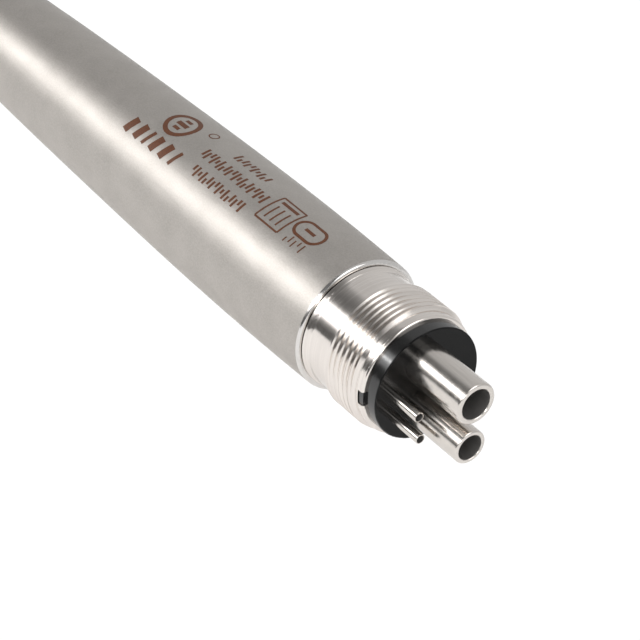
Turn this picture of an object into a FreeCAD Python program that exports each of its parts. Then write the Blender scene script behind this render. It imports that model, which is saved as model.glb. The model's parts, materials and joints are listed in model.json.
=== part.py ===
import FreeCAD, Part
import math
import os
from FreeCAD import Matrix, Placement, Vector

# High-speed dental handpiece with a push-button chuck and a four-tube threaded hose connector.
# Millimetres. The origin is the centre of the connector's end face, +X runs out of the connector
# towards the hose, and +Z is up as the handpiece lies on its side. The push button looks towards -Y
# and the bur points towards +Y. Each sub-part is one STEP file in parts/, named after its node.

# ---- Driving dimensions -------------------------------------------------------------------------

# Hose connector, lengths measured back from its end face.
THREAD_RADIUS = 6.35            # half-inch connector thread
THREAD_PITCH = 0.635            # 40 threads per inch
THREAD_DEPTH = 0.32
THREAD_FRONT_X = -6.50          # thread's end beside the handle
THREAD_REAR_X = -2.62           # thread's end beside the tubes
RELIEF_RADIUS = 6.00            # plain necks on both sides of the thread
STEEL_END_X = -1.37             # where the steel body stops and the black insert stands out
INSERT_RADIUS = 5.60
KEY_WIDTH = 1.46
KEY_RADIUS = 5.88               # the key stands almost as high as the steel around it
KEY_DEPTH = 0.66                # how far the key slot runs into the steel body
FLANGE_RADIUS = 6.24
FLANGE_X = -10.08
CONNECTOR_FRONT_X = -20.0       # the steel body's end inside the handle
CONNECTOR_BORE = 4.80
INSERT_FRONT_X = -8.0           # where the black insert meets the tube block
SEAL_GROOVE_X = (-14.4, -13.2)
SEAL_GROOVE_RADIUS = 5.02
SEAL_SECTION = 0.285            # half the O-ring's thickness
SNAP_GROOVE_X = -12.9

# Handle and neck.
HANDLE_REAR_X = -10.15
HANDLE_RIM_RADIUS = 6.38        # where the rounded rear edge meets the end face
HANDLE_EDGE_X = -10.50          # where the rounded rear edge starts
HANDLE_REAR_RADIUS = 6.68
HANDLE_MAX_RADIUS = 6.82
HANDLE_NECK_JOINT = 68.0        # distance of the handle-to-neck seam from the end face
HANDLE_BORE = 5.60               # over the connector
HANDLE_WAIST_BORE = 5.35        # ahead of the connector
HANDLE_WAIST_X = (-46.0, -20.6)
JOINT_BORE = 5.00               # over the neck's rear spigot
JOINT_BORE_X = -62.0
JOINT_SPIGOT_LENGTH = 4.0
BEND_START = 72.0
BEND_RADIUS = 62.0
BEND_ANGLE = 20.0               # contra-angle of the head
NECK_STRAIGHT = 24.0            # from the bend's end to the head's axis
NECK_RADIUS = 3.95              # at the head
STUB_LENGTH = 11.0              # head housing's stub, from the head's axis to the neck seam
NECK_DROP = 0.6                 # neck axis below the turbine's mid plane
NECK_BORE_REAR, NECK_BORE_FRONT = 4.40, 3.35
STUB_SPIGOT_LENGTH = 2.5

# Tubes: place across the connector (y, z), outer radius, bore radius and length past the face.
EXHAUST_AT, EXHAUST_RADIUS, EXHAUST_BORE = (-0.22, 2.37), 2.03, 1.49
DRIVE_AT, DRIVE_RADIUS, DRIVE_BORE = (-0.69, -2.12), 1.65, 1.23
WATER_AT, WATER_RADIUS, WATER_BORE = (-3.38, -2.25), 0.47, 0.37
CHIP_AT, CHIP_RADIUS, CHIP_BORE = (-3.57, 0.24), 0.49, 0.385
# Past the connector's face the tubes have the sizes above; inside it they are reduced to these.
EXHAUST_SEAT, DRIVE_SEAT, WATER_SEAT, CHIP_SEAT = 1.80, 1.42, 0.30, 0.32
SHOULDER_DEPTH, SHOULDER_PLAY = 0.05, 0.01      # a tube's shoulder stands in a shallow seat in the face
FINE_LINE_BORE = 0.22
FINE_BORE_STEP_X = 0.8          # where a fine tube's bore narrows
TUBE_HOLE_X = -13.0             # the tubes' holes are cut from here outwards
BLOCK_END_X = -12.4             # inner end of the block that holds the tubes
EXHAUST_FRONT_X = -22.0
DRIVE_STEP_X = -24.0            # where the drive-air tube narrows
SMALL_JOIN_X = -18.0            # where the fine tubes' bends start
LARGE_TUBE_LENGTH = 7.09
SMALL_TUBE_LENGTH = 3.60
DRIVE_LINE_AT = (0.0, -1.90)    # places of the three lines inside the neck
WATER_LINE_AT = (2.20, 0.75)
CHIP_LINE_AT = (2.20, -0.75)
DRIVE_LINE_RADIUS, DRIVE_LINE_BORE = 1.25, 1.00
DRIVE_REACH, SMALL_REACH = 6.2, 5.1     # where the lines end, measured from the head's axis

# Head, heights along the bur's axis from the turbine's mid plane, + towards the button.
HEAD_RADIUS = 5.70
HEAD_FRONT = -6.30
HEAD_REAR = 4.90
CHAMBER_RADIUS = 4.45
CHAMBER_LOW, CHAMBER_HIGH = -1.80, 2.05
CAP_THREAD_RADIUS = 4.75
CAP_RADIUS = 5.35
CAP_TOP = 6.90
CAP_WEB = (4.98, 5.28)
BUTTON_RADIUS = 4.05
BUTTON_GAP = 0.25               # free travel before the button reaches the chuck plunger
BUTTON_STOP_RADIUS = 4.50
BUTTON_STOP = (6.20, 6.48)      # the flange that the retaining ring holds
BEARING_SEAT_RADIUS = 3.20
O_RING_GROOVE_RADIUS = 3.92
O_RING_GROOVE_HALF = 0.45
FRONT_SHIELD_LOW = -5.05
JET_OFFSET = 4.75               # spray jets, from the head's axis
JET_RADIUS, JET_PASSAGE_RADIUS = 0.42, 0.30
JET_TOP = -5.10

# Turbine cartridge.
BEARING_BORE = 3.175 / 2
BEARING_OUTER = 6.35 / 2
BEARING_WIDTH = 2.38
BEARING_CENTRE = 3.56           # distance of each bearing from the turbine's mid plane
BALL_RADIUS = 0.50
BALL_COUNT = 7
BALL_PITCH_RADIUS = 2.36
SPINDLE_END_LOW, SPINDLE_END_HIGH = -6.15, 5.10
SPINDLE_SHOULDER = 1.95
SPINDLE_BORE = 1.15
BUR_SHANK_RADIUS = 0.80         # 1.6 mm friction-grip shank
IMPELLER_RADIUS = 4.20
IMPELLER_HEIGHT = 2.80
BLADE_COUNT = 10
BLADE_THICKNESS = 0.34

RUNNING = 0.02                  # clearance of the balls and the plunger

ORIGIN = Vector(0, 0, 0)
AXIS_X = Vector(1, 0, 0)
AXIS_Z = Vector(0, 0, 1)

# ---- The centreline and the head's own frame ----------------------------------------------------

bend = math.radians(BEND_ANGLE)
neck_dir = Vector(-math.cos(bend), -math.sin(bend), 0)      # from the handle to the head
bur_dir = Vector(-math.sin(bend), math.cos(bend), 0)
bend_end = Vector(-BEND_START - BEND_RADIUS * math.sin(bend), -BEND_RADIUS * (1 - math.cos(bend)), 0)
bend_length = BEND_RADIUS * bend
head_on_neck = bend_end + neck_dir * NECK_STRAIGHT          # where the neck axis meets the head's
head_centre = head_on_neck - bur_dir * NECK_DROP            # the turbine's mid plane
centreline_length = BEND_START + bend_length + NECK_STRAIGHT

# Local x runs back along the neck, local z towards the push button.
head_frame = Placement(Matrix(
    -neck_dir.x, 0, -bur_dir.x, head_centre.x,
    -neck_dir.y, 0, -bur_dir.y, head_centre.y,
    0, 1, 0, head_centre.z,
    0, 0, 0, 1))


def on_centreline(distance):
    """The centreline's point and direction at a distance from the connector's end face."""
    if distance <= BEND_START:
        return Vector(-distance, 0, 0), Vector(-1, 0, 0)
    if distance >= BEND_START + bend_length:
        return bend_end + neck_dir * (distance - BEND_START - bend_length), neck_dir
    turn = (distance - BEND_START) / BEND_RADIUS
    point = Vector(-BEND_START - BEND_RADIUS * math.sin(turn), -BEND_RADIUS * (1 - math.cos(turn)), 0)
    return point, Vector(-math.cos(turn), -math.sin(turn), 0)


# Outer radius of the handle and neck as one smooth curve over the distance from the end face.
outline = Part.BSplineCurve()
outline.interpolate([
    Vector(-HANDLE_EDGE_X, HANDLE_REAR_RADIUS, 0),
    Vector(31.0, HANDLE_MAX_RADIUS, 0),
    Vector(48.0, 6.48, 0),
    Vector(66.5, 5.92, 0),
    Vector(90.0, 4.78, 0),
    Vector(centreline_length - STUB_LENGTH, NECK_RADIUS, 0)])


def outline_parameter(distance):
    low, high = outline.FirstParameter, outline.LastParameter
    for _ in range(50):
        middle = (low + high) / 2
        if outline.value(middle).x < distance:
            low = middle
        else:
            high = middle
    return (low + high) / 2


def outer_radius(distance):
    return outline.value(outline_parameter(distance)).y


# ---- Shape helpers ------------------------------------------------------------------------------

def in_head(shape):
    """The shape moved from the head's own frame into the part's frame."""
    moved = shape.copy()
    moved.Placement = head_frame.multiply(moved.Placement)
    return moved


def turned_x(points):
    """A solid turned about X from a closed outline of (x, radius) points. A point with four numbers
    is reached by an arc: (x, radius) on the way and (x, radius) at its end."""
    edges = []
    last = Vector(points[-1][-2], 0, points[-1][-1])
    for point in points:
        end = Vector(point[-2], 0, point[-1])
        if len(point) == 4:
            edges.append(Part.Arc(last, Vector(point[0], 0, point[1]), end).toShape())
        else:
            edges.append(Part.makeLine(last, end))
        last = end
    return Part.Face(Part.Wire(edges)).revolve(ORIGIN, AXIS_X, 360)


def turned_z(points):
    """A solid turned about Z from a closed outline of (radius, height) points."""
    corners = [Vector(radius, 0, height) for radius, height in points]
    return Part.Face(Part.makePolygon(corners + corners[:1])).revolve(ORIGIN, AXIS_Z, 360)


def ring_z(inner, outer, low, high, chamfer=0.0):
    """A flat ring about Z, with all four edges chamfered."""
    c = chamfer
    return turned_z([
        (inner + c, low), (outer - c, low), (outer, low + c), (outer, high - c),
        (outer - c, high), (inner + c, high), (inner, high - c), (inner, low + c)]
        if c else [(inner, low), (outer, low), (outer, high), (inner, high)])


def rod_x(radius, start, end, y=0.0, z=0.0):
    return Part.makeCylinder(radius, end - start, Vector(start, y, z), AXIS_X)


def rod_z(radius, low, high, x=0.0, y=0.0):
    return Part.makeCylinder(radius, high - low, Vector(x, y, low), AXIS_Z)


def around_z(shape, count, start=0.0):
    """Copies of a shape spaced evenly around Z."""
    copies = []
    for index in range(count):
        copy = shape.copy()
        copy.rotate(ORIGIN, AXIS_Z, start + 360 * index / count)
        copies.append(copy)
    return copies


def circular_edges(shape, radius, height, axis="z"):
    """The full circles of one radius at one height, to be rounded."""
    found = []
    for edge in shape.Edges:
        curve = edge.Curve
        if isinstance(curve, Part.Circle) and abs(curve.Radius - radius) < 1e-4:
            if abs(getattr(curve.Center, axis) - height) < 1e-4:
                found.append(edge)
    return found


def rounded_route(points, radii):
    """A wire of straight runs joined by tangent arcs, one radius for each inner point."""
    edges = []
    start = points[0]
    for before, corner, after, radius in zip(points, points[1:], points[2:], radii):
        back = (before - corner).normalize()
        ahead = (after - corner).normalize()
        half = back.getAngle(ahead) / 2
        reach = radius / math.tan(half)
        first, last = corner + back * reach, corner + ahead * reach
        middle_dir = (back + ahead).normalize()
        middle = corner + middle_dir * (radius / math.sin(half) - radius)
        edges.append(Part.makeLine(start, first))
        edges.append(Part.Arc(first, middle, last).toShape())
        start = last
    edges.append(Part.makeLine(start, points[-1]))
    return Part.Wire(edges)


def swept(route, radius):
    """A round bar of one radius along a route."""
    start = route.Edges[0].firstVertex().Point
    heading = route.Edges[0].tangentAt(route.Edges[0].FirstParameter)
    section = Part.Wire(Part.makeCircle(radius, start, heading))
    return route.makePipeShell([section], True, True)


def neck_corner(y, z):
    """Where the two straight runs of a line beside the centreline would meet."""
    corner = Vector(-BEND_START - BEND_RADIUS * math.tan(bend / 2), 0, 0)
    across = (Vector(0, 1, 0) + bur_dir).normalize() * (y / math.cos(bend / 2))
    return corner + across + Vector(0, 0, z)


def beside_neck(back_from_head, y, z):
    """A point beside the neck's straight run, at a distance back from the head's axis."""
    return head_on_neck - neck_dir * back_from_head + bur_dir * y + Vector(0, 0, z)


def section_circle(distance, radius):
    """A circle across the centreline, its seam always on top so that lofted sections don't twist."""
    point, direction = on_centreline(distance)
    circle = Part.makeCircle(radius, ORIGIN, Vector(-1, 0, 0))
    circle.rotate(ORIGIN, AXIS_Z, math.degrees(math.asin(-direction.y)))
    circle.translate(point)
    return Part.Wire(circle)


# ---- Hose connector -----------------------------------------------------------------------------

def thread_cutter():
    """A V-shaped helical groove cutter that runs out in the plain necks on both sides."""
    half_width = THREAD_PITCH * 0.43
    half_root = 0.04
    above = 0.3                 # the cutter's straight-sided top reaches this far over the thread's crest
    length = THREAD_REAR_X - THREAD_FRONT_X + 2 * THREAD_PITCH
    root = THREAD_RADIUS - THREAD_DEPTH
    crest = THREAD_RADIUS + 0.02
    top = THREAD_RADIUS + above
    helix = Part.makeLongHelix(THREAD_PITCH, length, root)
    profile = Part.makePolygon([
        Vector(root, 0, -half_root), Vector(crest, 0, -half_width), Vector(top, 0, -half_width),
        Vector(top, 0, half_width), Vector(crest, 0, half_width), Vector(root, 0, half_root),
        Vector(root, 0, -half_root)])
    cutter = Part.Wire(helix.Edges).makePipeShell([profile], True, True)
    cutter.rotate(ORIGIN, Vector(0, 1, 0), 90)
    cutter.translate(Vector(THREAD_FRONT_X - THREAD_PITCH, 0, 0))
    return cutter


def make_connector_body():
    band_radius = RELIEF_RADIUS - 0.02
    body = turned_x([
        (CONNECTOR_FRONT_X, CONNECTOR_BORE), (CONNECTOR_FRONT_X, HANDLE_BORE - 0.2),
        (CONNECTOR_FRONT_X + 0.2, HANDLE_BORE), (FLANGE_X, HANDLE_BORE),
        (FLANGE_X, FLANGE_RADIUS - 0.03), (FLANGE_X + 0.03, FLANGE_RADIUS),
        (-9.78, FLANGE_RADIUS - 0.07, -9.62, 6.07), (-9.45, 6.015, -9.20, RELIEF_RADIUS),
        (THREAD_FRONT_X - 0.22, RELIEF_RADIUS), (THREAD_FRONT_X, THREAD_RADIUS),
        (THREAD_REAR_X, THREAD_RADIUS), (THREAD_REAR_X + 0.26, band_radius),
        (STEEL_END_X - 0.28, band_radius),
        (STEEL_END_X - 0.08, band_radius - 0.06, STEEL_END_X, INSERT_RADIUS + 0.12),
        (STEEL_END_X, CONNECTOR_BORE)])
    body = body.cut(thread_cutter())
    groove_low, groove_high = SEAL_GROOVE_X
    groove = turned_x([
        (groove_low, SEAL_GROOVE_RADIUS), (groove_high, SEAL_GROOVE_RADIUS),
        (groove_high, HANDLE_BORE + 0.2), (groove_low, HANDLE_BORE + 0.2)])
    slot = Part.makeBox(KEY_DEPTH + 1, 2.2, KEY_WIDTH,
                        Vector(STEEL_END_X - KEY_DEPTH, -6.6, -KEY_WIDTH / 2))
    snap_groove = turned_x([
        (SNAP_GROOVE_X, CONNECTOR_BORE - 0.1), (BLOCK_END_X, CONNECTOR_BORE - 0.1),
        (BLOCK_END_X, CONNECTOR_BORE + 0.2), (SNAP_GROOVE_X, CONNECTOR_BORE + 0.2)])
    return body.cut(groove).cut(slot).cut(snap_groove)


def tube_holes():
    """Holes for the four tubes through the block and the insert, with the shoulders' seats in the face."""
    holes = []
    for place, radius, seat_radius in (
            (EXHAUST_AT, EXHAUST_RADIUS, EXHAUST_SEAT), (DRIVE_AT, DRIVE_RADIUS, DRIVE_SEAT),
            (WATER_AT, WATER_RADIUS, WATER_SEAT), (CHIP_AT, CHIP_RADIUS, CHIP_SEAT)):
        holes.append(rod_x(seat_radius, TUBE_HOLE_X, 1, *place))
        holes.append(rod_x(radius + SHOULDER_PLAY, -SHOULDER_DEPTH, 1, *place))
    return holes


def make_connector_insert():
    soften = 0.12               # rounding of the face's edge
    insert = turned_x([
        (INSERT_FRONT_X, 0), (INSERT_FRONT_X, CONNECTOR_BORE), (STEEL_END_X, CONNECTOR_BORE),
        (STEEL_END_X, INSERT_RADIUS), (-soften, INSERT_RADIUS),
        (-soften * 0.3, INSERT_RADIUS - soften * 0.3, 0, INSERT_RADIUS - soften), (0, 0)])
    key_play, key_gap = 0.04, 0.1
    key = Part.makeBox(KEY_DEPTH - key_gap - STEEL_END_X, 1.5, KEY_WIDTH - 2 * key_play,
                       Vector(STEEL_END_X - KEY_DEPTH + key_gap, -6.2, -KEY_WIDTH / 2 + key_play))
    raised = rod_x(KEY_RADIUS, STEEL_END_X - KEY_DEPTH, STEEL_END_X)
    key = key.common(raised.fuse(rod_x(INSERT_RADIUS, STEEL_END_X, -soften)))
    return insert.fuse(key).removeSplitter().cut(tube_holes())


def make_tube_block():
    block = turned_x([
        (BLOCK_END_X, 0), (BLOCK_END_X, CONNECTOR_BORE), (INSERT_FRONT_X, CONNECTOR_BORE),
        (INSERT_FRONT_X, 0)])
    return block.cut(tube_holes())


def make_block_snap_ring():
    inner, outer = CONNECTOR_BORE - 0.20, CONNECTOR_BORE + 0.17
    front = SNAP_GROOVE_X + 0.05
    ring = turned_x([(front, inner), (BLOCK_END_X, inner), (BLOCK_END_X, outer), (front, outer)])
    gap_width = 1.6
    gap = Part.makeBox(2, 4, gap_width, Vector(front - 1, 3.0, -gap_width / 2))
    return ring.cut(gap)


def make_handle_o_ring():
    middle = Vector(sum(SEAL_GROOVE_X) / 2, 0, 0)
    return Part.makeTorus(SEAL_GROOVE_RADIUS + SEAL_SECTION + 0.005, SEAL_SECTION, middle, AXIS_X)


# ---- Tubes --------------------------------------------------------------------------------------

def straight_tube(place, radius, bore, seat_radius, start, end, start_bore=None):
    """A straight tube with its open end rounded outside and countersunk inside.

    Just inside the connector's face it is reduced to the seat's radius by a shoulder.
    """
    soften = (radius - bore) * 0.42
    slope = soften * 0.3
    if start_bore is None:
        inside = [(start, bore)]
    else:
        inside = [(FINE_BORE_STEP_X, bore), (FINE_BORE_STEP_X, start_bore), (start, start_bore)]
    tube = turned_x([
        (start, seat_radius), (-SHOULDER_DEPTH, seat_radius), (-SHOULDER_DEPTH, radius),
        (end - soften, radius), (end - slope, radius - slope, end, radius - soften),
        (end, bore + slope), (end - slope, bore)] + inside)
    tube.translate(Vector(0, *place))
    return tube


def inner_line(start, waypoints, line_place, reach, turn_radius, radius, bore):
    """A tube's run from inside the handle to the head: sideways first, then along the neck."""
    points = [Vector(*start)] + [Vector(*point) for point in waypoints]
    points += [neck_corner(*line_place), beside_neck(reach, *line_place)]
    radii = [turn_radius] * len(waypoints) + [BEND_RADIUS + line_place[0]]
    route = rounded_route(points, radii)
    return swept(route, radius).cut(swept(route, bore))


def make_exhaust_tube():
    return straight_tube(EXHAUST_AT, EXHAUST_RADIUS, EXHAUST_BORE, EXHAUST_SEAT,
                         EXHAUST_FRONT_X, LARGE_TUBE_LENGTH)


def make_drive_air_tube():
    """The wide tube at the connector narrows behind the block into the line to the head."""
    step = DRIVE_STEP_X
    rear = straight_tube(DRIVE_AT, DRIVE_RADIUS, DRIVE_BORE, DRIVE_SEAT, step, LARGE_TUBE_LENGTH)
    shoulder = rod_x(DRIVE_SEAT, step, step + 0.8, *DRIVE_AT)
    shoulder = shoulder.cut(rod_x(DRIVE_LINE_BORE, step - 1, step + 1, *DRIVE_AT))
    line = inner_line((step, *DRIVE_AT), [(-32.0, *DRIVE_AT), (-44.0, *DRIVE_LINE_AT)], DRIVE_LINE_AT,
                      DRIVE_REACH, 14.0, DRIVE_LINE_RADIUS, DRIVE_LINE_BORE)
    return rear.fuse([shoulder, line]).removeSplitter()


def make_small_tube(place, radius, bore, seat_radius, waypoints, line_place):
    rear = straight_tube(place, radius, bore, seat_radius, SMALL_JOIN_X, SMALL_TUBE_LENGTH,
                         FINE_LINE_BORE)
    line = inner_line((SMALL_JOIN_X, *place), waypoints, line_place, SMALL_REACH, 12.0,
                      seat_radius, FINE_LINE_BORE)
    return rear.fuse(line).removeSplitter()


def make_water_tube():
    return make_small_tube(
        WATER_AT, WATER_RADIUS, WATER_BORE, WATER_SEAT,
        [(-27.0, *WATER_AT), (-45.0, -2.6, 2.3), (-63.0, *WATER_LINE_AT)], WATER_LINE_AT)


def make_chip_air_tube():
    return make_small_tube(
        CHIP_AT, CHIP_RADIUS, CHIP_BORE, CHIP_SEAT,
        [(-26.0, *CHIP_AT), (-38.0, 0.4, 3.2), (-52.0, *CHIP_LINE_AT)], CHIP_LINE_AT)


# ---- Handle and neck ----------------------------------------------------------------------------

def make_handle_shell():
    rear = -HANDLE_EDGE_X
    edge_radius, joint_radius = outer_radius(rear), outer_radius(HANDLE_NECK_JOINT)
    outer = Part.Edge(outline, outline_parameter(rear), outline_parameter(HANDLE_NECK_JOINT))
    # the outline runs over the distance from the end face, so it is mirrored onto -X
    outer = outer.transformGeometry(Matrix(-1, 0, 0, 0, 0, 0, 1, 0, 0, 1, 0, 0, 0, 0, 0, 1))
    waist_front, waist_rear = HANDLE_WAIST_X
    inside = [
        (-HANDLE_NECK_JOINT, joint_radius), (-HANDLE_NECK_JOINT, JOINT_BORE),
        (JOINT_BORE_X, JOINT_BORE), (waist_front, HANDLE_WAIST_BORE), (waist_rear, HANDLE_WAIST_BORE),
        (waist_rear, HANDLE_BORE), (HANDLE_REAR_X, HANDLE_BORE), (HANDLE_REAR_X, HANDLE_RIM_RADIUS)]
    corners = [Vector(x, 0, radius) for x, radius in inside]
    edges = [outer] + [Part.makeLine(a, b) for a, b in zip(corners, corners[1:])]
    rounding = Vector(HANDLE_REAR_X - 0.09, 0, HANDLE_REAR_RADIUS - 0.09)
    edges.append(Part.Arc(corners[-1], rounding, Vector(HANDLE_EDGE_X, 0, edge_radius)).toShape())
    wire = Part.Wire(Part.__sortEdges__(edges))
    return Part.Face(wire).revolve(ORIGIN, AXIS_X, 360)


def loft_stations(end, count=12):
    """Distances spaced evenly along the centreline from the handle's joint to an end."""
    length = end - HANDLE_NECK_JOINT
    return [HANDLE_NECK_JOINT + length * index / (count - 1) for index in range(count)]


def make_neck_shell():
    seam = centreline_length - STUB_LENGTH
    outer = Part.makeLoft([section_circle(s, outer_radius(s)) for s in loft_stations(seam)], True)
    inner_end = seam - STUB_SPIGOT_LENGTH
    stations = loft_stations(inner_end)
    narrowing = (NECK_BORE_REAR - NECK_BORE_FRONT) / (len(stations) - 1)
    inner = Part.makeLoft([
        section_circle(s, NECK_BORE_REAR - narrowing * index)
        for index, s in enumerate(stations)], True)
    front_seat = Part.makeCylinder(NECK_BORE_FRONT, STUB_SPIGOT_LENGTH + 0.5,
                                   on_centreline(inner_end)[0], neck_dir)
    joint = -HANDLE_NECK_JOINT
    spigot = rod_x(JOINT_BORE, joint, joint + JOINT_SPIGOT_LENGTH)
    spigot = spigot.cut(rod_x(NECK_BORE_REAR, joint - 1, joint + JOINT_SPIGOT_LENGTH + 1))
    return outer.cut(inner).cut(front_seat).fuse(spigot)


# ---- Head ---------------------------------------------------------------------------------------

def bearing_groove(centre):
    """The groove for the rubber ring that carries a bearing."""
    return ring_z(BEARING_SEAT_RADIUS - 0.2, O_RING_GROOVE_RADIUS,
                  centre - O_RING_GROOVE_HALF, centre + O_RING_GROOVE_HALF)


def make_head_housing():
    drum = turned_z([(0, HEAD_FRONT), (HEAD_RADIUS, HEAD_FRONT), (HEAD_RADIUS, HEAD_REAR), (0, HEAD_REAR)])
    drum = drum.makeFillet(1.9, circular_edges(drum, HEAD_RADIUS, HEAD_FRONT))
    neck_height = -NECK_DROP
    stub = Part.makeCone(NECK_RADIUS - 0.08, NECK_RADIUS, STUB_LENGTH - 2.0,
                         Vector(2.0, 0, neck_height), AXIS_X)
    housing = drum.fuse(stub).removeSplitter()
    junction = [
        edge for edge in housing.Edges
        if not isinstance(edge.Curve, (Part.Circle, Part.Line)) and edge.BoundBox.XMin > 2.0]
    housing = housing.makeFillet(0.9, junction)
    housing = housing.makeFillet(0.25, circular_edges(housing, HEAD_RADIUS, HEAD_REAR))
    spigot = rod_x(NECK_BORE_FRONT, STUB_LENGTH, STUB_LENGTH + STUB_SPIGOT_LENGTH, 0, neck_height)
    housing = housing.fuse(spigot)
    bore = turned_z([
        (0, HEAD_FRONT - 1), (2.05, HEAD_FRONT - 1), (2.05, HEAD_FRONT), (1.85, HEAD_FRONT + 0.2),
        (1.85, FRONT_SHIELD_LOW), (BEARING_SEAT_RADIUS, FRONT_SHIELD_LOW),
        (BEARING_SEAT_RADIUS, CHAMBER_LOW), (CHAMBER_RADIUS, CHAMBER_LOW),
        (CHAMBER_RADIUS, CHAMBER_HIGH), (CAP_THREAD_RADIUS, CHAMBER_HIGH),
        (CAP_THREAD_RADIUS, HEAD_REAR + 1), (0, HEAD_REAR + 1)])
    front_groove = bearing_groove(-BEARING_CENTRE)
    far = STUB_LENGTH + 3.0

    def stub_hole(radius, place, start):
        y, z = place
        return rod_x(radius, start, far, z, neck_height - y)

    drive_seat = stub_hole(DRIVE_LINE_RADIUS, DRIVE_LINE_AT, DRIVE_REACH)
    drive_jet = stub_hole(0.80, DRIVE_LINE_AT, 3.0)
    exhaust_port = stub_hole(1.35, (-NECK_DROP, 1.75), 3.0)
    water_seat = stub_hole(WATER_SEAT, WATER_LINE_AT, SMALL_REACH)
    chip_seat = stub_hole(CHIP_SEAT, CHIP_LINE_AT, SMALL_REACH)
    jet_passages = []
    for y, z in (WATER_LINE_AT, CHIP_LINE_AT):
        level = neck_height - y
        jet_passages.append(rod_z(JET_PASSAGE_RADIUS, JET_TOP, level, JET_OFFSET, z))
        jet_passages.append(rod_z(JET_RADIUS, HEAD_FRONT - 0.5, JET_TOP, JET_OFFSET, z))
        jet_passages.append(rod_x(JET_PASSAGE_RADIUS, JET_OFFSET, SMALL_REACH + 0.1, z, level))
    cuts = [bore, front_groove, drive_seat, drive_jet, exhaust_port, water_seat, chip_seat]
    return in_head(housing.cut(cuts + jet_passages))


def make_spray_nozzles():
    """Two small steel jets pressed into the head's front, one for water and one for air."""
    jets = []
    for y, z in (WATER_LINE_AT, CHIP_LINE_AT):
        jet = turned_z([
            (0.18, HEAD_FRONT + 0.1), (JET_RADIUS - 0.08, HEAD_FRONT + 0.1),
            (JET_RADIUS, HEAD_FRONT + 0.35), (JET_RADIUS, JET_TOP), (0.18, JET_TOP)])
        jet.translate(Vector(JET_OFFSET, z, 0))
        jets.append(jet)
    return in_head(Part.makeCompound(jets))


def make_head_cap():
    web_low, web_high = CAP_WEB
    cap = turned_z([
        (BEARING_SEAT_RADIUS, CHAMBER_HIGH + 0.1), (CAP_THREAD_RADIUS, CHAMBER_HIGH + 0.1),
        (CAP_THREAD_RADIUS, HEAD_REAR), (CAP_RADIUS, HEAD_REAR), (CAP_RADIUS, CAP_TOP - 0.35),
        (CAP_RADIUS - 0.35, CAP_TOP), (4.60, CAP_TOP), (4.60, web_high), (1.75, web_high),
        (1.75, web_low), (BEARING_SEAT_RADIUS, web_low)])
    rear_groove = bearing_groove(BEARING_CENTRE)
    scallop = rod_z(0.55, HEAD_REAR + 0.35, CAP_TOP + 1, CAP_RADIUS + 0.36, 0)
    return in_head(cap.cut([rear_groove] + around_z(scallop, 12, 15)))


def make_button_retaining_ring():
    return in_head(ring_z(4.15, 4.60, 6.50, 6.88, 0.06))


def make_push_button():
    flange_low, flange_high = BUTTON_STOP
    crown_low, crown_high = 7.35, 7.75
    dome_radius = (BUTTON_RADIUS ** 2 + (crown_high - crown_low) ** 2) / (2 * (crown_high - crown_low))
    post_end = SPINDLE_END_HIGH + BUTTON_GAP
    body = turned_z([
        (0, post_end), (0.85, post_end), (1.0, post_end + 0.15), (1.0, flange_low),
        (BUTTON_STOP_RADIUS, flange_low), (BUTTON_STOP_RADIUS, flange_high),
        (BUTTON_RADIUS, flange_high),
        (BUTTON_RADIUS, crown_low), (BUTTON_RADIUS, crown_high), (0, crown_high)])
    dome = Part.makeSphere(dome_radius, Vector(0, 0, crown_high - dome_radius))
    below = rod_z(6, 0, crown_low)
    body = body.common(dome.fuse(below))
    spring_seat = ring_z(2.2, 3.6, flange_low - 0.1, flange_low + 0.15)
    dish_radius, dish_depth = 12.0, 0.22
    dish = Part.makeSphere(dish_radius, Vector(0, 0, crown_high + dish_radius - dish_depth))
    return in_head(body.cut([spring_seat, dish]))


def coil(radius, wire, low, high, turns):
    """An open coil of round wire about Z between two heights, as short tangent arcs up a helix."""
    corners_per_turn = 8
    steps = round(turns * corners_per_turn)
    rise = (high - low - 2 * wire) / steps
    corners = []
    for step in range(steps + 1):
        angle = 2 * math.pi * step / corners_per_turn
        corners.append(Vector(
            radius * math.cos(angle), radius * math.sin(angle), low + wire + rise * step))
    return swept(rounded_route(corners, [0.88 * radius] * (steps - 1)), wire)


def make_button_spring():
    return in_head(coil(2.9, 0.15, CAP_WEB[1], 6.35, 2.5))


# ---- Turbine cartridge --------------------------------------------------------------------------

def ball_track(centre):
    return Part.makeTorus(BALL_PITCH_RADIUS, BALL_RADIUS + RUNNING, Vector(0, 0, centre), AXIS_Z)


def make_inner_race(centre):
    half = BEARING_WIDTH / 2
    race = ring_z(BEARING_BORE, 2.10, centre - half, centre + half, 0.06)
    return in_head(race.cut(ball_track(centre)))


def make_outer_race(centre):
    half = BEARING_WIDTH / 2
    race = ring_z(2.62, BEARING_OUTER, centre - half, centre + half, 0.06)
    return in_head(race.cut(ball_track(centre)))


def make_balls(centre):
    ball = Part.makeSphere(BALL_RADIUS, Vector(BALL_PITCH_RADIUS, 0, centre))
    return in_head(Part.makeCompound(around_z(ball, BALL_COUNT)))


def make_ball_cage(centre):
    cage = ring_z(2.20, 2.52, centre - 0.80, centre + 0.80, 0.04)
    pocket = Part.makeCylinder(BALL_RADIUS + 0.04, 4, Vector(0, 0, centre), AXIS_X)
    return in_head(cage.cut(around_z(pocket, BALL_COUNT)))


def make_bearing_o_ring(centre):
    section = (O_RING_GROOVE_RADIUS - BEARING_OUTER) / 2
    return in_head(Part.makeTorus(BEARING_OUTER + section, section, Vector(0, 0, centre), AXIS_Z))


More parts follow.
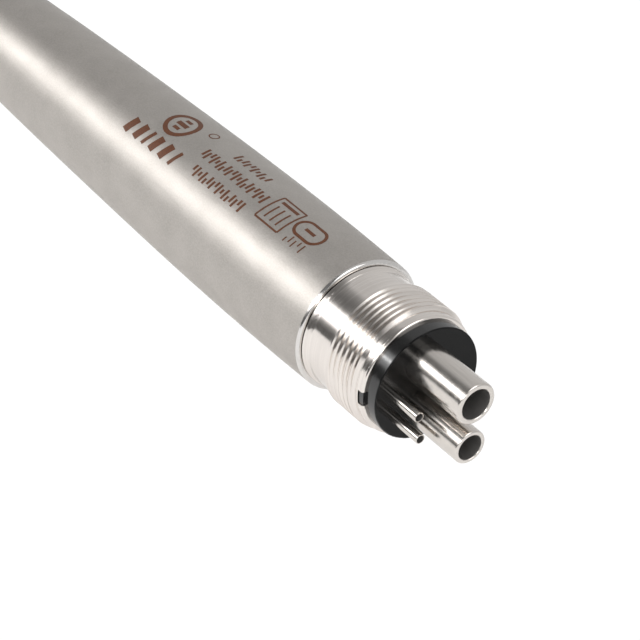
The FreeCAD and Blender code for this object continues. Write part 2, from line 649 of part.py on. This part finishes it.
def make_spindle():
    shoulder = BEARING_CENTRE - BEARING_WIDTH / 2
    low, high = SPINDLE_END_LOW, SPINDLE_END_HIGH
    return in_head(turned_z([
        (SPINDLE_BORE, low), (BEARING_BORE - 0.15, low), (BEARING_BORE, low + 0.15),
        (BEARING_BORE, -shoulder), (SPINDLE_SHOULDER, -shoulder), (SPINDLE_SHOULDER, shoulder),
        (BEARING_BORE, shoulder), (BEARING_BORE, high - 0.1), (BEARING_BORE - 0.1, high),
        (SPINDLE_BORE, high)]))


def make_impeller():
    hub_radius = 2.45
    half = IMPELLER_HEIGHT / 2
    hub = ring_z(SPINDLE_SHOULDER, hub_radius, -half, half, 0.05)
    # each blade is a curved strip between two circles, cupped towards the air jet
    cup_radius, cup_offset, cup_reach = 1.9, 3.05, 1.35
    strip = ring_z(cup_radius - BLADE_THICKNESS, cup_radius, -half, half)
    strip.translate(Vector(cup_offset, -cup_radius, 0))
    upper = Part.makeBox(8, 4, IMPELLER_HEIGHT, Vector(0, -cup_reach, -half))
    span = ring_z(hub_radius - 0.2, IMPELLER_RADIUS, -half, half)
    blade = strip.common(upper).common(span)
    return in_head(hub.fuse(around_z(blade, BLADE_COUNT)).removeSplitter())


def make_chuck_collet():
    low, high = SPINDLE_END_LOW + 0.1, 1.60
    collet = turned_z([
        (BUR_SHANK_RADIUS + 0.12, low), (SPINDLE_BORE, low), (SPINDLE_BORE, high),
        (1.02, high), (BUR_SHANK_RADIUS, high - 0.5), (BUR_SHANK_RADIUS, low + 0.12)])
    slit = Part.makeBox(2, 0.24, high + 2.6, Vector(0, -0.12, -2.5))
    return in_head(collet.cut(around_z(slit, 3, 30)))


def make_chuck_plunger():
    guide = SPINDLE_BORE - RUNNING
    top = SPINDLE_END_HIGH
    return in_head(turned_z([
        (0, 1.15), (0.40, 1.15), (0.66, 1.65), (0.50, 1.80), (0.50, 3.45), (guide, 3.45),
        (guide, top - 0.08), (guide - 0.08, top), (0, top)]))


def make_chuck_spring():
    return in_head(coil(0.84, 0.11, 1.66, 3.42, 4))


def make_front_dust_shield():
    thickness = 0.22
    return in_head(ring_z(
        1.72, BEARING_SEAT_RADIUS, FRONT_SHIELD_LOW, FRONT_SHIELD_LOW + thickness, 0.03))


def make_preload_washer():
    """A conical spring washer that holds the rear bearing down."""
    top = BEARING_CENTRE + BEARING_WIDTH / 2
    roof = CAP_WEB[0]
    thickness = 0.12
    return in_head(turned_z([
        (2.68, top), (2.80, top), (3.14, roof - thickness), (3.14, roof), (3.02, roof),
        (2.68, top + thickness)]))


# ---- All the pieces -----------------------------------------------------------------------------

parts = {
    "handle_shell": make_handle_shell(),
    "neck_shell": make_neck_shell(),
    "connector_body": make_connector_body(),
    "connector_insert": make_connector_insert(),
    "tube_block": make_tube_block(),
    "block_snap_ring": make_block_snap_ring(),
    "handle_o_ring": make_handle_o_ring(),
    "exhaust_tube": make_exhaust_tube(),
    "drive_air_tube": make_drive_air_tube(),
    "water_tube": make_water_tube(),
    "chip_air_tube": make_chip_air_tube(),
    "head_housing": make_head_housing(),
    "spray_nozzles": make_spray_nozzles(),
    "head_cap": make_head_cap(),
    "button_retaining_ring": make_button_retaining_ring(),
    "push_button": make_push_button(),
    "button_spring": make_button_spring(),
    "front_outer_race": make_outer_race(-BEARING_CENTRE),
    "rear_outer_race": make_outer_race(BEARING_CENTRE),
    "front_inner_race": make_inner_race(-BEARING_CENTRE),
    "rear_inner_race": make_inner_race(BEARING_CENTRE),
    "front_ball_cage": make_ball_cage(-BEARING_CENTRE),
    "rear_ball_cage": make_ball_cage(BEARING_CENTRE),
    "front_balls": make_balls(-BEARING_CENTRE),
    "rear_balls": make_balls(BEARING_CENTRE),
    "front_o_ring": make_bearing_o_ring(-BEARING_CENTRE),
    "rear_o_ring": make_bearing_o_ring(BEARING_CENTRE),
    "spindle": make_spindle(),
    "impeller": make_impeller(),
    "chuck_collet": make_chuck_collet(),
    "chuck_plunger": make_chuck_plunger(),
    "chuck_spring": make_chuck_spring(),
    "front_dust_shield": make_front_dust_shield(),
    "preload_washer": make_preload_washer(),
}

os.makedirs("parts", exist_ok=True)
for node, shape in parts.items():
    solids = shape.Solids
    valid = all(solid.isValid() for solid in solids)
    print(f"{node:24s} solids {len(solids)} valid {valid} volume {shape.Volume:9.3f} mm3")
    shape.exportStep(f"parts/{node}.step")
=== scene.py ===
import json
import math

import bpy
import numpy as np
from mathutils import Matrix, Vector


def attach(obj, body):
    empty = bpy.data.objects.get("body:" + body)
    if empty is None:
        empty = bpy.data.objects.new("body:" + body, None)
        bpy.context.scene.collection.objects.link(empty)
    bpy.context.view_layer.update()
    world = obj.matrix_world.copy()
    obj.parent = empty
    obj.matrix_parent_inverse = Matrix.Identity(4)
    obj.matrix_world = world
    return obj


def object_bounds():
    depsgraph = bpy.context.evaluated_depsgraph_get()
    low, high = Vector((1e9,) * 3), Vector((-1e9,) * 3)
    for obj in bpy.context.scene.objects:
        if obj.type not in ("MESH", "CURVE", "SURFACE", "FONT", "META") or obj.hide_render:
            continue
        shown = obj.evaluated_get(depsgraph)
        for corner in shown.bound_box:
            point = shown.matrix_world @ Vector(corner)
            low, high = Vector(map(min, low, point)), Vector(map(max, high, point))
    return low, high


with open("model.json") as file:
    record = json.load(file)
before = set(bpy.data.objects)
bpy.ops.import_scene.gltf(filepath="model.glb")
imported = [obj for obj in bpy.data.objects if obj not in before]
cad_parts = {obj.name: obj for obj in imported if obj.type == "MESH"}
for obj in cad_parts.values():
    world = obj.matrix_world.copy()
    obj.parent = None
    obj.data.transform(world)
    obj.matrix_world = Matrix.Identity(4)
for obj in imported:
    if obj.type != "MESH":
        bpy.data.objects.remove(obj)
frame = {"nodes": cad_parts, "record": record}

# Looks for the dental high speed handpiece. Places are in metres in the part's frame: the origin is
# the centre of the connector's end face, +X runs out towards the hose and the handpiece lies on its
# side, with +Z up. Small sizes are written in millimetres and turned into metres by MM.

cad_box = [[float(value) for value in corner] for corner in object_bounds()]
MM = 0.001

nodes = frame["nodes"]
scene = bpy.context.scene


# ---- Node helpers -------------------------------------------------------------------------------

class Shader:
    """A material's node tree with short calls for the nodes used here."""

    def __init__(self, name):
        self.material = bpy.data.materials.new(name)
        self.material.use_nodes = True
        self.tree = self.material.node_tree
        self.tree.nodes.clear()
        self.surface = self.tree.nodes.new("ShaderNodeBsdfPrincipled")
        output = self.tree.nodes.new("ShaderNodeOutputMaterial")
        self.link(self.surface.outputs[0], output.inputs["Surface"])
        coordinates = self.tree.nodes.new("ShaderNodeTexCoord")
        self.place = coordinates.outputs["Object"]

    def link(self, source, target):
        self.tree.links.new(source, target)

    def plug(self, value, socket):
        """A number or colour is set on the socket, anything else is linked to it."""
        if isinstance(value, bpy.types.NodeSocket):
            self.link(value, socket)
        else:
            socket.default_value = value

    def set(self, **inputs):
        for key, value in inputs.items():
            self.plug(value, self.surface.inputs[key.replace("_", " ")])

    def stretched(self, scale):
        mapping = self.tree.nodes.new("ShaderNodeMapping")
        mapping.inputs["Scale"].default_value = scale
        self.link(self.place, mapping.inputs["Vector"])
        return mapping.outputs[0]

    def noise(self, size_mm, detail=2.0, stretch=None):
        """Noise whose features are about size_mm wide."""
        noise = self.tree.nodes.new("ShaderNodeTexNoise")
        noise.inputs["Scale"].default_value = 1.0 / (size_mm * MM)
        noise.inputs["Detail"].default_value = detail
        self.link(self.stretched(stretch) if stretch else self.place, noise.inputs["Vector"])
        return noise.outputs["Fac"]

    def math(self, operation, first, second=0.0):
        node = self.tree.nodes.new("ShaderNodeMath")
        node.operation = operation
        self.plug(first, node.inputs[0])
        self.plug(second, node.inputs[1])
        return node.outputs[0]

    def remap(self, value, low, high, to_low, to_high):
        node = self.tree.nodes.new("ShaderNodeMapRange")
        self.plug(value, node.inputs["Value"])
        ends = {"From Min": low, "From Max": high, "To Min": to_low, "To Max": to_high}
        for key, number in ends.items():
            self.plug(number, node.inputs[key])
        return node.outputs[0]

    def mix(self, factor, first, second):
        node = self.tree.nodes.new("ShaderNodeMix")
        node.data_type = "RGBA"
        self.plug(factor, node.inputs[0])
        self.plug(first, node.inputs[6])
        self.plug(second, node.inputs[7])
        return node.outputs[2]

    def blend(self, factor, first, second):
        """Like mix, for plain numbers."""
        node = self.tree.nodes.new("ShaderNodeMix")
        for value, socket in zip((factor, first, second), (node.inputs[0], node.inputs[2], node.inputs[3])):
            self.plug(value, socket)
        return node.outputs[0]

    def axis(self, name):
        node = self.tree.nodes.new("ShaderNodeSeparateXYZ")
        self.link(self.place, node.inputs[0])
        return node.outputs[name]

    def bump(self, height, strength, depth_mm, below=None):
        node = self.tree.nodes.new("ShaderNodeBump")
        node.inputs["Strength"].default_value = strength
        node.inputs["Distance"].default_value = depth_mm * MM
        self.plug(height, node.inputs["Height"])
        if below is not None:
            self.link(below, node.inputs["Normal"])
        return node.outputs[0]


def rgb(red, green, blue):
    return (red, green, blue, 1.0)


# ---- Materials ----------------------------------------------------------------------------------

PLAIN_TONE_SIZE = 0.5           # width in mm of the tone patches on plain metal and plastic
HANDLE_RIM_X = -10.43 * MM      # where the blasted surface stops and the polished rim starts


def satin_steel():
    """Bead-blasted steel: a fine pitted grain, with a polished rim at the handle's rear end."""
    s = Shader("satin_steel")
    grain = s.noise(0.15, 3.0)
    cloud = s.noise(3.0, 2.0)
    rim = s.remap(s.axis("X"), HANDLE_RIM_X - 0.03 * MM, HANDLE_RIM_X + 0.03 * MM, 0.0, 1.0)
    blasted = s.mix(s.remap(cloud, 0.3, 0.7, 0.0, 1.0), rgb(0.41, 0.383, 0.355), rgb(0.46, 0.431, 0.401))
    speckled = s.mix(s.remap(grain, 0.35, 0.65, 0.0, 0.30), blasted, rgb(0.68, 0.655, 0.625))
    rough = s.remap(grain, 0.3, 0.7, 0.43, 0.53)
    s.set(Base_Color=s.mix(rim, speckled, rgb(0.72, 0.70, 0.68)), Metallic=1.0)
    s.set(Roughness=s.blend(rim, rough, 0.14))
    height = s.math("MULTIPLY", grain, s.math("SUBTRACT", 1.0, rim))
    s.set(Normal=s.bump(height, 0.6, 0.02))
    return s.material


def polished_steel():
    """Turned and polished steel: faint rings round the axis and a few hairline scratches."""
    s = Shader("polished_steel")
    rings = s.noise(0.11, 3.0, stretch=(1.0, 0.012, 0.012))
    wear = s.noise(0.6, 4.0)
    s.set(
        Base_Color=s.mix(s.remap(rings, 0.3, 0.7, 0.0, 1.0),
                         rgb(0.75, 0.70, 0.66), rgb(0.84, 0.79, 0.745)),
        Metallic=1.0,
        Roughness=s.remap(s.math("ADD", s.math("MULTIPLY", rings, 0.5), s.math("MULTIPLY", wear, 0.5)),
                          0.3, 0.7, 0.08, 0.20))
    s.set(Normal=s.bump(rings, 0.3, 0.006, s.bump(wear, 0.1, 0.01)))
    return s.material


def tube_steel(name, place, bore):
    """Bright drawn tube with faint lines along it, and a rougher bore whose colour is darkened as
    painted shade. The place is the tube's axis across the connector."""
    s = Shader(name)
    lines = s.noise(0.06, 2.0, stretch=(0.02, 1.0, 1.0))
    wear = s.noise(0.35, 4.0)
    across = s.math("SUBTRACT", s.axis("Y"), place[0] * MM)
    up = s.math("SUBTRACT", s.axis("Z"), place[1] * MM)
    out = s.math("SQRT", s.math("ADD", s.math("MULTIPLY", across, across), s.math("MULTIPLY", up, up)))
    # Mask of the bore: it gives the bore its real rougher finish and paints shade into its colour.
    bore_rough_and_painted_shade = s.remap(out, (bore + 0.03) * MM, (bore + 0.01) * MM, 0.0, 1.0)
    bright = s.mix(s.remap(lines, 0.35, 0.7, 0.0, 1.0), rgb(0.64, 0.60, 0.56), rgb(0.74, 0.70, 0.655))
    # Painted shade: inside the bore the steel's colour is darkened to 0.27. The bore's higher roughness
    # below is its real duller finish.
    s.set(Base_Color=s.mix(bore_rough_and_painted_shade, bright, rgb(0.27, 0.26, 0.25)), Metallic=1.0)
    uneven = s.math("ADD", s.math("MULTIPLY", lines, 0.4), s.math("MULTIPLY", wear, 0.6))
    s.set(Roughness=s.blend(bore_rough_and_painted_shade, s.remap(uneven, 0.35, 0.65, 0.15, 0.27), 0.62))
    s.set(Normal=s.bump(lines, 0.06, 0.005, s.bump(wear, 0.08, 0.01)))
    return s.material


def black_plastic():
    """Gloss black plastic, a little duller on the moulded end face than on the turned side."""
    s = Shader("black_plastic")
    haze = s.noise(0.8, 3.0)
    s.set(
        Base_Color=s.mix(haze, rgb(0.003, 0.003, 0.003), rgb(0.006, 0.006, 0.006)),
        Specular_IOR_Level=s.remap(s.axis("X"), -0.12 * MM, -0.05 * MM, 0.8, 0.15),
        Roughness=s.remap(haze, 0.3, 0.7, 0.12, 0.2))
    s.set(Normal=s.bump(s.noise(0.3, 2.0), 0.04, 0.01))
    return s.material


def plain_metal(name, dark, light, low_rough, high_rough):
    """Machined metal of one colour with a little variation in tone and gloss."""
    s = Shader(name)
    tone = s.noise(PLAIN_TONE_SIZE, 3.0)
    s.set(Base_Color=s.mix(tone, dark, light), Metallic=1.0,
          Roughness=s.remap(tone, 0.3, 0.7, low_rough, high_rough))
    s.set(Normal=s.bump(s.noise(0.08, 2.0), 0.06, 0.004))
    return s.material


def plain_moulded(name, dark, light, low_rough, high_rough):
    s = Shader(name)
    tone = s.noise(PLAIN_TONE_SIZE, 3.0)
    s.set(Base_Color=s.mix(tone, dark, light), Roughness=s.remap(tone, 0.3, 0.7, low_rough, high_rough))
    s.set(Normal=s.bump(s.noise(0.1, 2.0), 0.1, 0.01))
    return s.material


materials = {
    "satin_steel": satin_steel(),
    "polished_steel": polished_steel(),
    "tube_steel": plain_metal("tube_steel", rgb(0.62, 0.58, 0.54), rgb(0.70, 0.66, 0.62), 0.2, 0.32),
    "black_plastic": black_plastic(),
    "brass": plain_metal("brass", rgb(0.60, 0.42, 0.17), rgb(0.72, 0.53, 0.24), 0.22, 0.34),
    "spring_steel": plain_metal("spring_steel", rgb(0.42, 0.42, 0.43), rgb(0.55, 0.55, 0.55), 0.2, 0.32),
    "rubber": plain_moulded("rubber", rgb(0.012, 0.012, 0.012), rgb(0.022, 0.022, 0.022), 0.5, 0.65),
    "bearing_steel": plain_metal(
        "bearing_steel", rgb(0.58, 0.58, 0.60), rgb(0.68, 0.68, 0.69), 0.08, 0.16),
    "cage_resin": plain_moulded("cage_resin", rgb(0.22, 0.10, 0.035), rgb(0.32, 0.16, 0.06), 0.4, 0.55),
    "ceramic": plain_moulded("ceramic", rgb(0.78, 0.78, 0.76), rgb(0.84, 0.84, 0.82), 0.08, 0.14),
    "aluminium": plain_metal("aluminium", rgb(0.70, 0.70, 0.71), rgb(0.80, 0.80, 0.81), 0.24, 0.36),
}
# The four tubes: place across the connector (y, z) and bore radius, in mm.
TUBES = {
    "exhaust_tube": ((-0.22, 2.37), 1.49),
    "drive_air_tube": ((-0.69, -2.12), 1.23),
    "water_tube": ((-3.38, -2.25), 0.37),
    "chip_air_tube": ((-3.57, 0.24), 0.385),
}
for part in frame["record"]["subparts"]:
    name = part["node"]
    if name in TUBES:
        material = tube_steel(name + "_steel", *TUBES[name])
    else:
        material = materials[part["material_slot"]]
    nodes[name].data.materials.clear()
    nodes[name].data.materials.append(material)


# ---- Marks on the handle --------------------------------------------------------------------------
#
# The handle's laser-burnt marks are plain bars, rings and ticks. Each is drawn with strokes in a flat
# sheet, (along, round) in millimetres, that is wrapped round the handle: along is x, and round is
# the arc from the sheet's middle line, towards the far side.

MARK_TOP = 0.008            # how far a mark stands proud of the steel
MARK_ROOT = 0.04            # how far its sides go down into it
SHEET_ANGLE = math.radians(10)      # the sheet's middle line, from straight up towards the near side


def handle_profile():
    """Radius of the handle's outer surface over x, both in mm, from the CAD node's vertices."""
    count = len(nodes["handle_shell"].data.vertices)
    points = np.empty(count * 3)
    nodes["handle_shell"].data.vertices.foreach_get("co", points)
    points = points.reshape(-1, 3) / MM
    radius = np.hypot(points[:, 1], points[:, 2])
    outer = (radius > 6.2) & (points[:, 0] > -52) & (points[:, 0] < -11.5)
    places = np.round(points[outer, 0], 2)
    rings = np.unique(places)
    return rings, np.array([radius[outer][places == ring].max() for ring in rings])


profile_x, profile_r = handle_profile()


def wrapped(along, round_, lift):
    """Where a point of the flat sheet lies on the handle, lifted by lift mm."""
    radius = float(np.interp(along, profile_x, profile_r))
    angle = SHEET_ANGLE - round_ / radius
    radius += lift
    return (along * MM, -radius * math.sin(angle) * MM, radius * math.cos(angle) * MM)


def stroke(path, width, closed=False):
    """A flat stroke of one width along a path, as rows of three sheet points across it."""
    points = [Vector(point) for point in path]
    rows = []
    for i, point in enumerate(points):
        before = points[i - 1] if i or closed else point
        after = points[(i + 1) % len(points)] if i + 1 < len(points) or closed else point
        side = (after - before).normalized()
        side = Vector((-side.y, side.x)) * (width / 2)
        rows.append([point - side, point, point + side])
    return rows + [rows[0]] if closed else rows


def bar(start, end, width):
    """A straight stroke, cut into short lengths so that it follows the handle's curve."""
    start, end = Vector(start), Vector(end)
    steps = max(2, round((end - start).length / 0.2))
    return stroke([start.lerp(end, i / steps) for i in range(steps + 1)], width)


def ring(centre, radius, width, steps=48):
    """A closed circular stroke; radius is to the stroke's middle."""
    return stroke([(centre[0] + radius * math.cos(2 * math.pi * i / steps),
                    centre[1] + radius * math.sin(2 * math.pi * i / steps)) for i in range(steps)],
                  width, closed=True)


def ticks(start, length, height, heights, pitch=0.52, width=0.29):
    """A row of upright ticks of different heights, standing on one line."""
    rows = []
    count = int(length / pitch)
    for i in range(count):
        along = start[0] + (i + 0.5) * length / count
        low, high = heights[i % len(heights)]
        rows.append(bar((along, start[1] + low * height), (along, start[1] + high * height), width))
    return rows


def make_mark(name, strokes, material):
    """One closed, very thin solid for each stroke, all in one mesh."""
    mesh = bpy.data.meshes.new(name)
    points, faces = [], []
    for rows in strokes:
        base = len(points)
        across = len(rows[0])
        for lift in (MARK_TOP, -MARK_ROOT):
            points += [wrapped(point.x, point.y, lift) for row in rows for point in row]
        layer = len(rows) * across

        def at(row, column, lower, base=base, across=across, layer=layer):
            return base + lower * layer + row * across + column

        last_row, last_column = len(rows) - 1, across - 1
        for row in range(last_row):
            for column in range(last_column):
                quad = [at(row, column, 0), at(row + 1, column, 0), at(row + 1, column + 1, 0),
                        at(row, column + 1, 0)]
                faces += [quad, [index + layer for index in reversed(quad)]]
            for column, flip in ((0, True), (last_column, False)):
                wall = [at(row, column, 0), at(row + 1, column, 0), at(row + 1, column, 1),
                        at(row, column, 1)]
                faces.append(wall[::-1] if flip else wall)
        if rows[0] is not rows[-1]:
            for column in range(last_column):
                for row, flip in ((0, False), (last_row, True)):
                    wall = [at(row, column, 0), at(row, column + 1, 0), at(row, column + 1, 1),
                            at(row, column, 1)]
                    faces.append(wall[::-1] if flip else wall)
    mesh.from_pydata(points, [], faces)
    mesh.materials.append(material)
    mark = bpy.data.objects.new(name, mesh)
    scene.collection.objects.link(mark)
    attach(mark, "handpiece")


def laser_mark():
    """Steel burnt brown by the laser, a little uneven where its passes overlap."""
    s = Shader("laser_mark")
    passes = s.noise(0.12, 3.0)
    s.set(
        Base_Color=s.mix(s.remap(passes, 0.3, 0.7, 0.0, 1.0),
                         rgb(0.07, 0.022, 0.008), rgb(0.14, 0.048, 0.018)),
        Metallic=0.25,
        Roughness=s.remap(passes, 0.3, 0.7, 0.42, 0.6))
    s.set(Normal=s.bump(s.noise(0.16, 3.0), 0.25, 0.02))
    return s.material


def round_(degrees):
    """The sheet's second coordinate of a place so many degrees beyond the sheet's middle line."""
    return math.radians(degrees) * 6.8


def make_emblem(burnt):
    along, round_place = -38.9, round_(10.2)
    strokes = [ring((along, round_place), 1.72, 0.5)]
    for offset, half, width in ((0.0, 0.8, 0.55), (0.75, 0.45, 0.4), (-0.75, 0.45, 0.4)):
        level = round_place + offset
        strokes.append(bar((along - half, level), (along + half, level), width))
    make_mark("mark_emblem", strokes, burnt)


def make_block_row(burnt):
    low, high = round_(-25.5), round_(-11)
    wide, narrow = 0.9, 0.45
    slant = 0.25                # each block's ends are this far before and after its place
    blocks = []
    for along, width in ((-43.1, wide), (-41.4, wide), (-40.0, narrow), (-38.6, wide), (-36.9, wide),
                         (-35.3, narrow)):
        blocks.append(bar((along - slant, low), (along + slant, high), width))
    make_mark("mark_block_row", blocks, burnt)


def make_tick_lines(burnt):
    tall = [(0, 1), (0, 0.55), (0.2, 1), (0, 0.8), (0.45, 1), (0, 1), (0.3, 0.75)]

    def heights(first):
        return tall[first:] + tall[:first]

    make_mark("mark_line_1", ticks((-31.2, round_(15)), 5.4, 1.13, heights(0)), burnt)
    make_mark("mark_line_2", ticks((-33.7, round_(-3.5)), 10.4, 1.3, heights(2)), burnt)
    make_mark("mark_line_3", ticks((-32.7, round_(-20.5)), 8.5, 1.19, heights(4)), burnt)
    make_mark("mark_line_4", ticks((-18.2, round_(-15)), 2.9, 1.0, heights(1), 0.5, 0.16), burnt)


def make_square(burnt):
    """A square outline with three upright bars and a short bar over them."""
    rear, front = -22.6, -19.1
    low, high = round_(-13), round_(16)
    width = 0.2
    corners = [(rear, low), (front, low), (front, high), (rear, high)]
    strokes = [bar(corners[0], corners[1], width), bar(corners[3], corners[2], width),
               bar(corners[0], corners[3], width), bar(corners[1], corners[2], width)]
    for i in range(3):
        along = rear + (front - rear) * (i + 1) / 4
        strokes.append(bar((along, low + 0.45), (along, high - 1.2), width))
    strokes.append(bar((rear + 0.5, high - 0.6), (front - 0.5, high - 0.6), 0.35))
    make_mark("mark_square", strokes, burnt)


def make_pill(burnt):
    """A rounded outline with two round ends and a short bar in its middle."""
    along, round_place = -16.75, round_(5)
    half, radius, steps = 0.75, 1.05, 24
    outline = []
    for middle, start in ((along + half, -math.pi / 2), (along - half, math.pi / 2)):
        for i in range(steps + 1):
            angle = math.pi * (i / steps) + start
            outline.append((middle + radius * math.cos(angle), round_place + radius * math.sin(angle)))
    middle_bar = bar((along - 0.7, round_place), (along + 0.7, round_place), 0.35)
    make_mark("mark_pill", [stroke(outline, 0.32, closed=True), middle_bar], burnt)


def make_marks():
    burnt = laser_mark()
    make_emblem(burnt)
    make_mark("mark_small_ring", [ring((-35.5, round_(22)), 0.5, 0.14, 24)], burnt)
    make_block_row(burnt)
    make_tick_lines(burnt)
    make_square(burnt)
    make_pill(burnt)


# ---- Floor, light and camera --------------------------------------------------------------------

FLOOR_GAP = 0.2 * MM
FLOOR_TONE = 0.8
FAR_SIDE_PAINTED_SHADE = 0.6              # painted shade: the floor's colour and glow are dimmer behind the handpiece, away from the panel


def make_floor():
    """A plain pale floor just under the handpiece. Seen directly it is evenly white, as a lit
    backdrop. In the steel it shows its own shading and a faint glow, and painted shade dims both
    away from the panel."""
    half = 2.5                  # half the floor's side, in metres
    level = cad_box[0][2] - FLOOR_GAP
    mesh = bpy.data.meshes.new("floor")
    mesh.from_pydata([(-half, -half, level), (half, -half, level), (half, half, level),
                      (-half, half, level)], [], [(0, 1, 2, 3)])
    floor = bpy.data.objects.new("floor", mesh)
    scene.collection.objects.link(floor)
    s = Shader("floor")
    # Painted shade: the floor's colour and glow fall off behind the handpiece, away from the panel.
    tone = s.remap(s.axis("Y"), 10 * MM, 50 * MM, FLOOR_TONE, FLOOR_TONE * FAR_SIDE_PAINTED_SHADE)
    shade = s.tree.nodes.new("ShaderNodeCombineColor")
    for socket in shade.inputs:
        s.link(tone, socket)
    s.set(Base_Color=shade.outputs[0], Roughness=0.9, Specular_IOR_Level=0.0,
          Emission_Color=shade.outputs[0], Emission_Strength=0.15)
    backdrop = s.tree.nodes.new("ShaderNodeEmission")
    backdrop.inputs["Strength"].default_value = 1.05
    ray = s.tree.nodes.new("ShaderNodeLightPath")
    both = s.tree.nodes.new("ShaderNodeMixShader")
    s.link(ray.outputs["Is Camera Ray"], both.inputs[0])
    s.link(s.surface.outputs[0], both.inputs[1])
    s.link(backdrop.outputs[0], both.inputs[2])
    output = next(node for node in s.tree.nodes if node.type == "OUTPUT_MATERIAL")
    s.link(both.outputs[0], output.inputs["Surface"])
    mesh.materials.append(s.material)


# Brightness of the studio by the angle round the X axis, from straight up to the near side: a long
# bright panel over the near side, a dark ceiling, a pale far side.
STUDIO_TONES = [(-180, 0.9), (-100, 0.66), (-60, 0.64), (-22, 0.57), (-9, 0.56), (0, 0.30), (9, 0.20),
                (18, 0.15), (28, 0.17), (34, 0.35), (38, 1.4), (41, 2.6), (47, 2.6), (48.5, 14),
                (51.5, 14), (53, 2.6), (60, 2.6), (65, 1.2), (68, 0.35), (77, 0.12), (88, 0.10), (100, 0.9)]
FRONT_PANEL = Vector((0.66, 0.28, 0.69)).normalized()      # a second panel, seen by slopes facing +X
FRONT_PANEL_TONE = 2.6
FRONT_PANEL_CORE, FRONT_PANEL_EDGE = 15, 24     # degrees from its middle to full and to no brightness


def make_world():
    world = bpy.data.worlds.new("studio")
    scene.world = world
    world.use_nodes = True
    tree = world.node_tree
    background = tree.nodes["Background"]

    def node(kind, **settings):
        made = tree.nodes.new(kind)
        for key, value in settings.items():
            setattr(made, key, value)
        return made

    coordinates = node("ShaderNodeTexCoord").outputs["Generated"]
    split = node("ShaderNodeSeparateXYZ")
    tree.links.new(coordinates, split.inputs[0])
    near = node("ShaderNodeMath", operation="MULTIPLY")
    tree.links.new(split.outputs["Y"], near.inputs[0])
    near.inputs[1].default_value = -1.0
    turn = node("ShaderNodeMath", operation="ARCTAN2")
    tree.links.new(near.outputs[0], turn.inputs[0])
    tree.links.new(split.outputs["Z"], turn.inputs[1])
    share = node("ShaderNodeMapRange")
    tree.links.new(turn.outputs[0], share.inputs["Value"])
    share.inputs["From Min"].default_value = -math.pi
    share.inputs["From Max"].default_value = math.pi
    ramp = node("ShaderNodeValToRGB")
    tree.links.new(share.outputs[0], ramp.inputs["Fac"])
    stops = ramp.color_ramp.elements
    while len(stops) < len(STUDIO_TONES):
        stops.new(0.5)
    strongest = max(tone for _, tone in STUDIO_TONES)
    for stop, (angle, tone) in zip(stops, STUDIO_TONES):
        stop.position = (angle + 180) / 360
        stop.color = rgb(*[tone / strongest] * 3)
    towards = node("ShaderNodeVectorMath", operation="DOT_PRODUCT")
    tree.links.new(coordinates, towards.inputs[0])
    towards.inputs[1].default_value = FRONT_PANEL
    patch = node("ShaderNodeMapRange", interpolation_type="SMOOTHSTEP")
    tree.links.new(towards.outputs["Value"], patch.inputs["Value"])
    patch.inputs["From Min"].default_value = math.cos(math.radians(FRONT_PANEL_EDGE))
    patch.inputs["From Max"].default_value = math.cos(math.radians(FRONT_PANEL_CORE))
    both = node("ShaderNodeMix", data_type="RGBA")
    tree.links.new(patch.outputs[0], both.inputs[0])
    tree.links.new(ramp.outputs[0], both.inputs[6])
    both.inputs[7].default_value = rgb(*[FRONT_PANEL_TONE / strongest] * 3)
    tree.links.new(both.outputs[2], background.inputs["Color"])
    background.inputs["Strength"].default_value = strongest


def make_camera():
    """The camera looks down at the connector from the hose's side, level with the floor."""
    camera = bpy.data.cameras.new("camera")
    camera.lens = 135
    camera.sensor_width = 36
    camera.clip_start = 0.01
    view = bpy.data.objects.new("camera", camera)
    scene.collection.objects.link(view)
    right = Vector((0.57785, 0.81615, 0.0)).normalized()
    back = Vector((0.65562, -0.46448, 0.5952)).normalized()
    up = back.cross(right).normalized()
    back = right.cross(up)
    rotation = Matrix((right, up, back)).transposed()
    view.matrix_world = Matrix.Translation(Vector((128.83, -102.6, 128.7)) * MM) @ rotation.to_4x4()
    scene.camera = view


make_marks()
make_floor()
make_world()
make_camera()
scene.view_settings.view_transform = "Standard"
